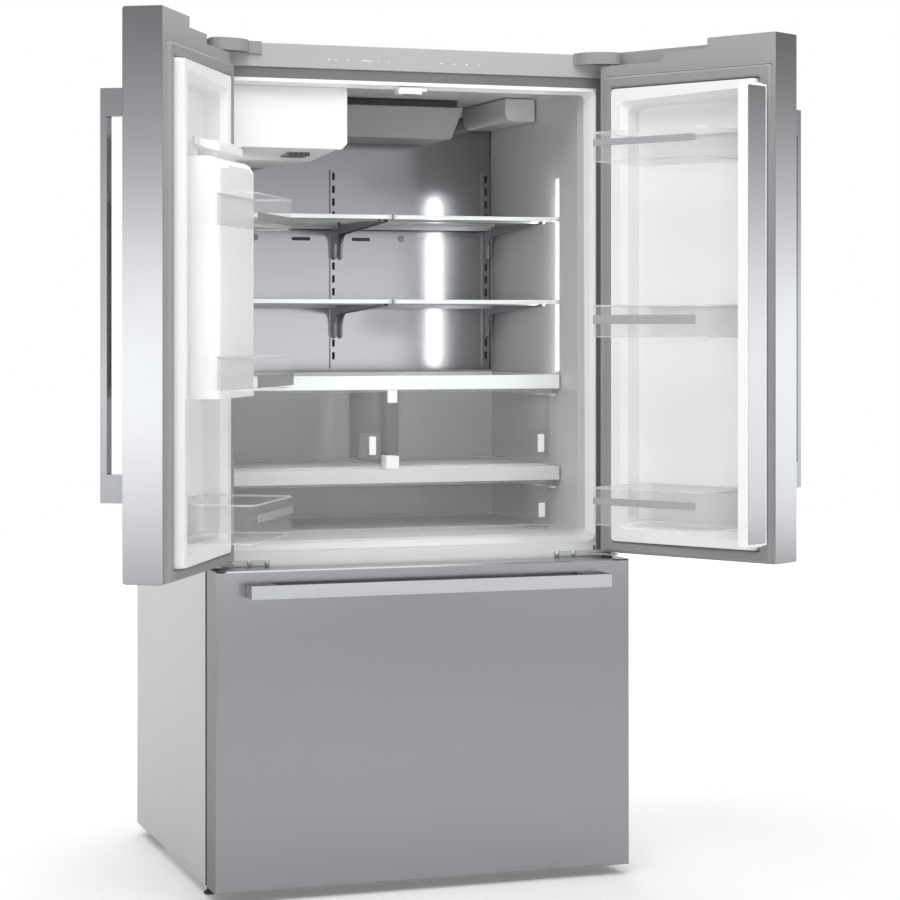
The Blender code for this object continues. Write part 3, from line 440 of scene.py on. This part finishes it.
# Places in the layout named at the top, which several pieces share.
SIDES = ((-1, "left"), (1, "right"))
SPACES = {"left": LEFT, "right": RIGHT}
SHELF_TOPS = (("upper", 1.4145), ("lower", 1.2305))
SHELF_FRONT = 0.2480
SHELF_REAR = 0.6660
WALL = 0.6965
RAIL_SPACE = 0.69955
CASE_BACK = 0.7855
DOOR_BACK = 0.0797
COVER_EDGE = 0.3882
CRISPERS = (("left", -0.3750, -0.0165), ("right", 0.0165, 0.3750))
DRAWER_FRONT = 0.2635
DRAWER_REAR = 0.6535
LATCH_FACE = 0.2596
LATCH_BACK = 0.2622
SPOUT_U = 0.2250


def across(side, a, b):
    """Two places across the cabinet, mirrored for the left side, the lower first."""
    return sorted((side * a, side * b))


# ---------------------------------------------------------------- inside the fridge


def shelf_trims():
    edge = SHELF_FRONT
    for level, top in SHELF_TOPS:
        channel = (
            (edge, top - 0.0084), (edge, top - 0.0008), (edge + 0.0010, top + 0.0003),
            (edge + 0.0160, top + 0.0003), (edge + 0.0160, top + 0.0001), (edge + 0.0019, top + 0.0001),
            (edge + 0.0019, top - 0.0081), (edge + 0.0138, top - 0.0081), (edge + 0.0138, top - 0.0084),
        )
        # The rear edge of the glass sits in a thin guard.
        guard = (
            (SHELF_REAR, top - 0.0058), (SHELF_REAR, top + 0.0030),
            (SHELF_REAR + 0.0032, top + 0.0030), (SHELF_REAR + 0.0032, top - 0.0058),
        )
        for side, word in SIDES:
            a, b = across(side, 0.0030, 0.3883)
            rings = [ring(cabinet, channel, 0, x) for x in (a, b)]
            loft(f"shelf_trim_{level}_{word}", rings, "edge", "case", bevel=0.0003)
            for x, end in ((a + 0.0035, "a"), (b - 0.0035, "b")):
                low = (x - 0.0040, edge - 0.0010, top - 0.0090)
                high = (x + 0.0040, edge + 0.0140, top + 0.0010)
                slab(f"shelf_cap_{level}_{word}_{end}", cabinet, low, high, 2,
                     "pale", "case", radius=0.002, bevel=0.0008)
            rings = [ring(cabinet, guard, 0, x) for x in (a + 0.002, b - 0.002)]
            loft(f"shelf_guard_{level}_{word}", rings, "pale", "case", bevel=0.0006)


def light_strips():
    parts = (("core", 0.2590, 0.2660, "light"), ("edge", 0.2662, 0.2760, "glow"))
    for side, word in SIDES:
        a, b = across(side, 0.3909, 0.3925)
        for part, front, rear, finish in parts:
            slab(f"light_{part}_{word}", cabinet, (a, front, 1.0740), (b, rear, 1.5020), 0,
                 finish, "case", radius=0.003, bevel=0.0004)
        a, b = across(side, 0.3911, 0.3928)
        section = [(0.0, b), (0.0, a), (0.0014, a), (0.0020, b)]
        frame_ring(f"light_frame_{word}", cabinet, (0.2580, 1.0725), (0.2770, 1.5035), 0, section,
                   "white", "case", 0.004)


def wall_shadow(name, x, half, low, high):
    """Dark space behind an opening of the back wall."""
    slab(name, cabinet, (x - half, RAIL_SPACE, low), (x + half, RAIL_SPACE + 0.0003, high), 1,
         "blackplastic", "case", bevel=0)


def back_wall_details():
    dome = ((0.0004, 0.0075), (-0.0012, 0.0075), (-0.0030, 0.0055), (-0.0034, 0.002))
    profile = [(WALL + along, radius) for along, radius in dome]
    for x, word in ((-0.194, "left"), (0.161, "right")):
        turned(f"wall_cap_{word}", cabinet, (x, 0, 1.3795), 1, profile,
               "duct", "case")
    for x, word in ((-0.084, "left"), (0.062, "right")):
        wall_shadow(f"vent_dark_{word}", x, 0.023, 1.3725, 1.3825)
    for x, word in ((-0.3715, "left"), (-0.0070, "middle"), (0.3715, "right")):
        wall_shadow(f"slot_dark_{word}", x, 0.0045, 1.0850, 1.5400)
    for side, word in SIDES:
        a, b = across(side, 0.3842, 0.3868)
        slab(f"wall_seam_{word}", cabinet, (a, WALL - 0.0010, 1.0700), (b, WALL + 0.0006, 1.6700), 1,
             "blackplastic", "case", bevel=0)


def drawer_edges(rim_name, foot_name, span, rim, foot, body):
    """The bright moulded rim and the bright lower edge of a clear drawer."""
    a, b = span
    frame_ring(rim_name, cabinet, (a + 0.0025, DRAWER_FRONT + 0.0010), (b - 0.0025, DRAWER_REAR - 0.0010), 2,
               rim, "rim", body, 0.011)
    frame_ring(foot_name, cabinet, (a + 0.0015, DRAWER_FRONT), (b - 0.0015, DRAWER_REAR), 2,
               bead(0.0, foot, 0.0016, 6), "rim", body, 0.011)


def crisper_details():
    rim = [(0.0, 1.0318), (0.0, 1.0340), (0.0040, 1.0345), (0.0048, 1.0330), (0.0048, 1.0290),
           (0.0030, 1.0290), (0.0028, 1.0318)]
    for word, a, b in CRISPERS:
        body = f"crisper_{word}"
        drawer_edges(f"crisper_rim_{word}", f"crisper_foot_{word}", (a, b), rim, 0.8662, body)
        slab(f"crisper_latch_{word}", cabinet, (b - 0.0330, LATCH_FACE, 0.8930),
             (b - 0.0180, LATCH_BACK, 0.9330), 1, "white", body, radius=0.002, bevel=0.0006)
        slab(f"crisper_pad_{word}", cabinet, (b - 0.0560, LATCH_FACE + 0.0008, 0.8860),
             (b - 0.0080, LATCH_BACK, 0.9400), 1, "clear", body, radius=0.004, bevel=0.0006)


def deli_details():
    rim = [(0.0, 0.8288), (0.0, 0.8303), (0.0036, 0.8306), (0.0044, 0.8296), (0.0044, 0.8258),
           (0.0030, 0.8258), (0.0028, 0.8288)]
    drawer_edges("deli_rim", "deli_foot", (-0.3750, 0.3750), rim, 0.7312, "deli_drawer")
    slab("deli_latch", cabinet, (0.3440, LATCH_FACE, 0.7480), (0.3590, LATCH_BACK, 0.7800), 1,
         "white", "deli_drawer", radius=0.002, bevel=0.0006)


def drawer_covers():
    for word, low, high, finish in (("crisper", 1.0350, 1.0652, "edge"), ("deli", 0.8322, 0.8617, "trim_and_ledge_shade")):
        slab(f"{word}_cover_face", cabinet, (-COVER_EDGE, 0.2468, low), (COVER_EDGE, 0.2478, high), 1,
             finish, "case", radius=0.0015, bevel=0.0004)
    slab("post_foot", cabinet, (-0.0150, SHELF_FRONT, 0.8618), (0.0150, 0.2900, 0.8900), 2,
         "white", "case", radius=0.002, bevel=0.0012)
    slab("post_cap", cabinet, (-0.0110, 0.2490, 1.0060), (0.0110, 0.2535, 1.0345), 1,
         "white", "case", radius=0.002, bevel=0.0008)
    for side, word in SIDES:
        a, b = across(side, 0.3785, 0.3905)
        for z, drawer in ((1.0200, "crisper"), (0.8140, "deli")):
            slab(f"{drawer}_runner_{word}", cabinet, (a, 0.2700, z - 0.0030), (b, 0.6500, z + 0.0030), 1,
                 "white", "case", bevel=0.0012)


def ice_maker_details():
    for i in range(9):
        x = -0.2480 + i * 0.0056
        finish = "shadow" if i % 2 else "grey"
        slab(f"ice_vent_{i}", cabinet, (x, 0.1980, 1.5350), (x + 0.0026, 0.2650, 1.5440), 2,
             finish, "case", bevel=0)
    frame_ring("ice_rim", cabinet, (-0.3735, 0.1485), (-0.1675, 0.5575), 2, bead(0.0, 1.6485, 0.0022),
               "white", "ice_bin", 0.009)


def duct_details():
    # A black block stands for the painted shade inside the duct's slot.
    slab("duct_slot", cabinet, (-0.1250, 0.5015, 1.6764), (0.2350, 0.6800, 1.6905), 1,
         "blackplastic", "case", bevel=0.0005)


def flap_catch():
    """The hook under the ceiling that turns the centre flap, clear of the flap's arm on the right."""
    for part, low, high in (
        ("", (-0.0330, 0.0990, 1.6640), (0.0190, 0.1060, 1.6790)),
        ("_arm", (0.0150, 0.0992, 1.6700), (0.0300, 0.1058, 1.6788)),
        ("_rear", (-0.0330, 0.1055, 1.6650), (0.0080, 0.1350, 1.6800)),
    ):
        slab(f"flap_catch{part}", cabinet, low, high, 2, "white", "case",
             radius=0.003, bevel=0.001)
    slab("flap_catch_track", cabinet, (-0.0240, 0.0985, 1.6628), (0.0080, 0.1120, 1.6645), 2,
         "grey", "case", radius=0.003, bevel=0.0003)


def header_marks():
    """Short plain dashes stand in for the header's lit touch marks."""
    marks = ((-0.192, 6), (-0.176, 4), (-0.150, 5), (-0.118, 22), (-0.082, 3), (-0.060, 3),
             (0.055, 7), (0.085, 5), (0.112, 6), (0.140, 4))
    for n, (x, wide) in enumerate(marks):
        slab(f"header_mark_{n}", cabinet, (x, HEADER_FACE - 0.0004, 1.7290),
             (x + wide / 1000, HEADER_FACE + 0.0004, 1.7305), 1, "white", "case", bevel=0)


def front_fittings():
    slab("liner_ledge", cabinet, (-0.4080, 0.0944, 1.6806), (0.4080, 0.0958, 1.6880), 1,
         "white", "case", bevel=0.0004)
    for side, word in SIDES:
        for n, x in enumerate((0.3225, 0.3600)):
            place = (side * x, 0.0905, 0.6815)
            screw(f"middle_hinge_screw_{word}_{n}", cabinet, place, 1, 0.0056, "case", -1)
        for n, (x, y) in enumerate(((0.3820, 0.0760), (0.4250, 0.0620))):
            screw(f"cover_screw_{word}_{n}", cabinet, (side * x, y, 1.7620), 2, 0.0032, "case", 1)
        a, b = across(side, 0.4060, 0.4130)
        slab(f"rail_notch_{word}", cabinet, (a, 0.0937, 0.6640), (b, 0.0945, 0.6980), 1,
             "grey", "case", radius=0.002)


# ---------------------------------------------------------------- doors


def bin_details():
    # Side, level, back face, floor, top edge, and the grey band's lower and upper edge.
    plan = (
        ("right", "upper", 0.0470, 1.5140, 1.5746, 1.5464, 1.5606),
        ("right", "middle", 0.0470, 1.1500, 1.2145, 1.1770, 1.1957),
        ("right", "lower", 0.0470, 0.7590, 0.8360, 0.8020, 0.8170),
        ("left", "upper", 0.1615, 1.3640, 1.4240, 1.3720, 1.3880),
        ("left", "middle", 0.1615, 1.0500, 1.1130, 1.0550, 1.0790),
        ("left", "lower", 0.0470, 0.7590, 0.8330, 0.8000, 0.8150),
    )
    for word, level, back, floor, top, low, high in plan:
        space = SPACES[word]
        body = f"{word}_door"
        name = f"{word}_{level}"
        # The left door's upper and middle bins get the darker band as painted shade.
        finish = "band" if word == "right" or level == "lower" else "band_shaded"
        slab(f"bin_band_{name}", space, (0.1050, 0.2399, low), (0.3650, 0.2416, high), 1,
             finish, body, radius=0.0025, bevel=0.0005)
        frame_ring(f"bin_rim_{name}", space, (0.1003, back + 0.0018), (0.3812, 0.2382), 2,
                   bead(0.0, top, 0.0021), "rim", body, 0.0105)
        frame_ring(f"bin_foot_{name}", space, (0.1050, back + 0.0060), (0.3765, 0.2330), 2,
                   bead(0.0, floor + 0.0006, 0.0014, 6), "rim", body, 0.008)


def liner_details():
    for n, z in enumerate((1.287, 1.085)):
        slab(f"liner_lug_{n}", RIGHT, (0.0600, 0.0640, z - 0.016), (0.0650, 0.0840, z + 0.016), 0,
             "white", "right_door", radius=0.006, bevel=0.0012)
    # Moulded caps close the top of the door in three steps.
    caps = (
        ("notch", 0.0440, 0.1600, 0.0320, 1.7320),
        ("low", 0.1680, 0.2780, 0.0310, 1.7510),
        ("high", 0.2830, 0.4470, 0.0030, 1.7723),
    )
    foot = [(0.0, 0.0795), (0.0, 0.0812), (-0.0025, 0.0830), (-0.0040, 0.0795)]
    for word, space in SPACES.items():
        body = f"{word}_door"
        frame_ring(f"gasket_foot_{word}", space, (0.0125, 0.6890), (0.4470, 1.7110), 1, foot,
                   "gasket", body, 0.006)
        slab(f"door_foot_{word}", space, (0.0420, 0.0040, 0.6866), (0.4470, 0.0760, 0.6884), 2,
             "grey", body, radius=0.003, bevel=0.0004)
        for part, low, high, front, top in caps:
            slab(f"door_cap_{part}_{word}", space, (low, front, top - 0.0006),
                 (high, 0.0770, top + 0.0010), 2, "grey", body, radius=0.003, bevel=0.0004)


def flap_details():
    slab("flap_back", RIGHT, (0.4494, 0.1165, 0.7330), (0.4506, 0.1788, 1.6580), 0,
         "flap", "mullion_flap", radius=0.003, bevel=0.0004)
    for n, z in enumerate((0.78, 1.61)):
        screw(f"flap_screw_{n}", RIGHT, (0.4268, 0.1600, z), 0, 0.0034, "mullion_flap", -1)


def dispenser_front():
    body = "left_door"
    slab("dispenser_panel", LEFT, (0.1240, -0.0052, 1.4330), (0.3260, -0.0036, 1.5330), 1,
         "screen", body, radius=0.008, bevel=0.0005)
    key = [(-0.0050, 0.0075), (-0.0056, 0.0073), (-0.0056, 0.0060), (-0.0053, 0.0058)]
    for n in range(4):
        turned(f"dispenser_key_{n}", LEFT, (0.165 + 0.040 * n, 0, 1.4600), 1, key,
               "pale", body)
    for n in range(11):
        u = 0.1420 + 0.0166 * n
        slab(f"drip_slat_{n}", LEFT, (u - 0.0025, 0.0040, 1.0500), (u + 0.0025, 0.1080, 1.0530), 2,
             "blackplastic", body, bevel=0.0006)
    edge = [(0.0, 1.0482), (0.0, 1.0545), (0.0030, 1.0545), (0.0030, 1.0482)]
    frame_ring("drip_frame", LEFT, (0.1350, 0.0030), (0.3150, 0.1100), 2, edge,
               "blackplastic", body, 0.008)
    ice = [(1.4165, 0.0300), (1.4000, 0.0270), (1.3860, 0.0210), (1.3865, 0.0180), (1.4100, 0.0200)]
    turned("ice_spout", LEFT, (SPOUT_U, 0.0560, 0), 2, ice, "blackplastic", body, 32)
    water = [(1.4165, 0.0065), (1.3980, 0.0055), (1.3975, 0.0030), (1.4100, 0.0030)]
    turned("water_spout", LEFT, (SPOUT_U, 0.0200, 0), 2, water, "blackplastic", body, 20)


def column_details():
    # A shallow moulded panel stands on the inside of the dispenser column.
    outline = [(0.1280, 1.4840), (0.2900, 1.4840), (0.2770, 1.4430), (0.2000, 1.4430)]
    rings = [ring(LEFT, outline, 1, v) for v in (0.1520, 0.1604)]
    loft("column_panel", rings, "white", "left_door", bevel=0.0015)
    frame_ring("collar_lip", LEFT, (0.1290, 0.0960), (0.3210, 0.1440), 2, bead(0.0, 1.5275, 0.0020),
               "white", "left_door", 0.019)


def handle_details():
    reach = 0.0285
    front, rear = -0.0016, 0.0002
    for word, space in SPACES.items():
        for n, z in enumerate((0.8645, 1.5950)):
            slab(f"handle_base_{word}_{n}", space, (0.3960, front, z - reach), (0.4270, rear, z + reach), 1,
                 "grey", f"{word}_door", radius=0.003, bevel=0.0004)
    for n, x in enumerate((-0.3640, 0.3640)):
        slab(f"drawer_handle_base_{n}", cabinet, (x - reach, front, 0.6205), (x + reach, rear, 0.6508), 1,
             "grey", "freezer_drawer", radius=0.003, bevel=0.0004)


# ---------------------------------------------------------------- freezer and back


def freezer_details():
    body = "freezer_drawer"
    seal = [(0.0075, DOOR_BACK), (0.0075, 0.0890), (0.0045, 0.0935), (-0.0060, 0.0935), (-0.0090, 0.0890),
            (-0.0090, DOOR_BACK)]
    frame_ring("freezer_gasket", cabinet, (-0.4300, 0.0400), (0.4300, 0.6590), 1, seal,
               "gasket", body, 0.014)
    panel = [(0.0, DOOR_BACK), (0.0, 0.0900), (-0.0060, 0.0930), (-0.0280, 0.0930), (-0.0400, 0.0850),
             (-0.0400, DOOR_BACK)]
    frame_ring("freezer_inner_panel", cabinet, (-0.3950, 0.0700), (0.3950, 0.6350), 1, panel,
               "liner", body, 0.020)
    for side, word in SIDES:
        a, b = across(side, 0.3745, 0.3805)
        slab(f"freezer_rail_{word}", cabinet, (a, 0.0800, 0.2200), (b, 0.4850, 0.2520), 0,
             "zinc", body, radius=0.004, bevel=0.0008)
        a, b = across(side, 0.3815, 0.3895)
        slab(f"freezer_track_{word}", cabinet, (a, 0.1450, 0.2160), (b, 0.4950, 0.2560), 0,
             "zinc", "case", radius=0.004, bevel=0.0008)
    frame_ring("basket_rim", cabinet, (-0.3705, 0.1000), (0.3705, 0.4885), 2, bead(0.0, 0.4000, 0.0022),
               "white", body, 0.0135)
    frame_ring("tray_rim", cabinet, (-0.3705, 0.1015), (0.3705, 0.3585), 2, bead(0.0, 0.5200, 0.0022),
               "rim", "freezer_tray", 0.0135)


def back_details():
    back = CASE_BACK
    corners = [(x, z) for z in (0.05, 0.90, 1.73) for x in (-0.43, 0.43)]
    for n, (x, z) in enumerate((*corners, (0.0, 0.27), (-0.30, 0.27), (0.30, 0.27), (0.0, 1.73))):
        screw(f"back_screw_{n}", cabinet, (x, back, z), 1, 0.0042, "case", 1)
    edge = [(0.0, back - 0.0004), (0.0, back + 0.0012), (0.0040, back + 0.0012), (0.0052, back - 0.0004)]
    frame_ring("machine_cover_edge", cabinet, (-0.4300, 0.0360), (0.4300, 0.2620), 1, edge,
               "zinc", "case", 0.010)
    rib = [(0.0, back - 0.0004), (-0.0020, back + 0.0014), (-0.0060, back + 0.0014), (-0.0080, back - 0.0004)]
    for n, z in enumerate((0.55, 0.95, 1.35)):
        frame_ring(f"back_rib_{n}", cabinet, (-0.3600, z), (0.3600, z + 0.30), 1, rib,
                   "zinc", "case", 0.030)
    stub = ((-0.001, 0.0160), (0.0020, 0.0160), (0.0030, 0.0095), (0.0140, 0.0095), (0.0150, 0.0080),
            (0.0150, 0.0050), (0.0040, 0.0050))
    turned("water_inlet", cabinet, (0.330, 0, 0.300), 1, [(back + along, radius) for along, radius in stub],
           "blackplastic", "case", 24)


shelf_trims()
light_strips()
back_wall_details()
crisper_details()
deli_details()
drawer_covers()
ice_maker_details()
duct_details()
flap_catch()
header_marks()
front_fittings()
bin_details()
liner_details()
flap_details()
dispenser_front()
column_details()
handle_details()
freezer_details()
back_details()


# ---------------------------------------------------------------- floor, light and camera

FLOOR_REACH = 9
FLOOR_LEVEL = -0.0005


def add_floor():
    bm = bmesh.new()
    far = FLOOR_REACH
    corners = ((-far, -far), (far, -far), (far, far), (-far, far))
    bm.faces.new([bm.verts.new((x, y, FLOOR_LEVEL)) for x, y in corners])
    mesh = bpy.data.meshes.new("floor")
    bm.to_mesh(mesh)
    bm.free()
    obj = bpy.data.objects.new("floor", mesh)
    bpy.context.scene.collection.objects.link(obj)
    s = Shader("floor", Roughness=0.75)
    s.colour(s.noise(1.2), (0.86, 0.86, 0.86), (0.89, 0.89, 0.89))
    s.bump(s.noise(220.0), 0.0002, 0.2)
    # The floor brightens behind the cabinet until it meets the white background.
    split = s.nodes.new("ShaderNodeSeparateXYZ")
    s.links.new(s.coords, split.inputs["Vector"])
    glow = s.nodes.new("ShaderNodeMapRange")
    for socket, value in (("From Min", -0.4), ("From Max", 4.5), ("To Min", 0.10), ("To Max", 0.75)):
        glow.inputs[socket].default_value = value
    s.links.new(split.outputs["Y"], glow.inputs["Value"])
    s.links.new(glow.outputs["Result"], s.bsdf.inputs["Emission Strength"])
    s.bsdf.inputs["Emission Color"].default_value = (1.0, 1.0, 1.0, 1.0)
    mesh.materials.append(s.material)


def add_area(name, at, toward, size, power):
    data = bpy.data.lights.new(name, "AREA")
    data.shape = "RECTANGLE"
    data.size, data.size_y = size
    data.energy = power
    obj = bpy.data.objects.new(name, data)
    obj.location = at
    obj.rotation_euler = (Vector(toward) - Vector(at)).to_track_quat("-Z", "Y").to_euler()
    bpy.context.scene.collection.objects.link(obj)


# How bright the studio is by height, from straight down at -1 to straight up at 1.
SKY = ((-1.0, 0.18), (-0.16, 0.25), (-0.07, 0.76), (0.0, 1.0), (0.045, 0.51), (0.10, 0.09), (0.45, 0.075),
       (1.0, 0.30))
STUDIO_STRENGTH = 3.1


def add_light():
    bpy.context.scene.view_settings.view_transform = "Standard"
    world = bpy.data.worlds.new("studio")
    world.use_nodes = True
    nodes, links = world.node_tree.nodes, world.node_tree.links
    sky = nodes.new("ShaderNodeTexCoord")
    split = nodes.new("ShaderNodeSeparateXYZ")
    ramp = nodes.new("ShaderNodeValToRGB")
    # A bright band lies just under eye level, and the studio darkens above it.
    elements = ramp.color_ramp.elements
    while len(elements) < len(SKY):
        elements.new(0.5)
    for element, (height, glow) in zip(elements, SKY):
        element.position = (height + 1) / 2
        element.color = (glow * 0.985, glow * 0.995, glow, 1)
    links.new(sky.outputs["Generated"], split.inputs["Vector"])
    level = nodes.new("ShaderNodeMapRange")
    level.inputs["From Min"].default_value = -1.0
    level.inputs["From Max"].default_value = 1.0
    links.new(split.outputs["Z"], level.inputs["Value"])
    links.new(level.outputs["Result"], ramp.inputs["Fac"])
    links.new(ramp.outputs["Color"], nodes["Background"].inputs["Color"])
    nodes["Background"].inputs["Strength"].default_value = STUDIO_STRENGTH
    plain = nodes.new("ShaderNodeBackground")
    plain.inputs["Color"].default_value = (1, 1, 1, 1)
    seen = nodes.new("ShaderNodeLightPath")
    mix = nodes.new("ShaderNodeMixShader")
    links.new(seen.outputs["Is Camera Ray"], mix.inputs["Fac"])
    links.new(nodes["Background"].outputs["Background"], mix.inputs[1])
    links.new(plain.outputs["Background"], mix.inputs[2])
    links.new(mix.outputs["Shader"], nodes["World Output"].inputs["Surface"])
    bpy.context.scene.world = world
    add_area("key", (-1.2, -3.0, 4.2), (0, 0, 1.0), (2.6, 1.8), 70)
    add_area("fill", (1.6, -3.6, 3.6), (0, 0, 0.9), (2.0, 1.6), 30)
    add_area("top", (0.0, -0.4, 4.2), (0, 0, 1.0), (3.0, 3.0), 45)
    add_area("back", (0.5, 3.6, 2.6), (0, 0, 1.0), (3.0, 2.0), 40)
    add_area("low_left", (-2.9, -2.6, 0.90), (-0.6, -0.5, 0.9), (1.2, 1.1), 2.3)
    # Both light strips shine across the shelves, and weak lamps fill the drawers below them.
    strip_size = (0.012, 0.426)
    strip_z = 1.288
    for side, power in ((-1, 0.3), (1, 0.8)):
        at = cabinet(side * 0.3875, 0.266, strip_z)
        add_area(f"inner_{side}", at, cabinet(0, 0.43, strip_z), strip_size, power)
    add_area("inner_low", cabinet(0, 0.150, 1.02), cabinet(0, 0.42, 0.80), (0.60, 0.05), 0.03)
    for n, (z, power) in enumerate(((0.845, 0.45), (1.046, 0.55))):
        add_area(f"inner_drawer_{n}", cabinet(0, 0.33, z), cabinet(0, 0.40, z - 0.4), (0.66, 0.10), power)


def add_camera():
    data = bpy.data.cameras.new("camera")
    data.sensor_width = 36
    data.lens = 99.09
    data.shift_x = -0.0085
    data.shift_y = -0.1348
    data.clip_end = 60
    obj = bpy.data.objects.new("camera", data)
    obj.location = cabinet(-1.6154, -4.8942, 1.1674)
    obj.rotation_euler = (math.radians(90), 0, math.radians(-18.9394))
    bpy.context.scene.collection.objects.link(obj)
    bpy.context.scene.camera = obj


add_floor()
add_light()
add_camera()
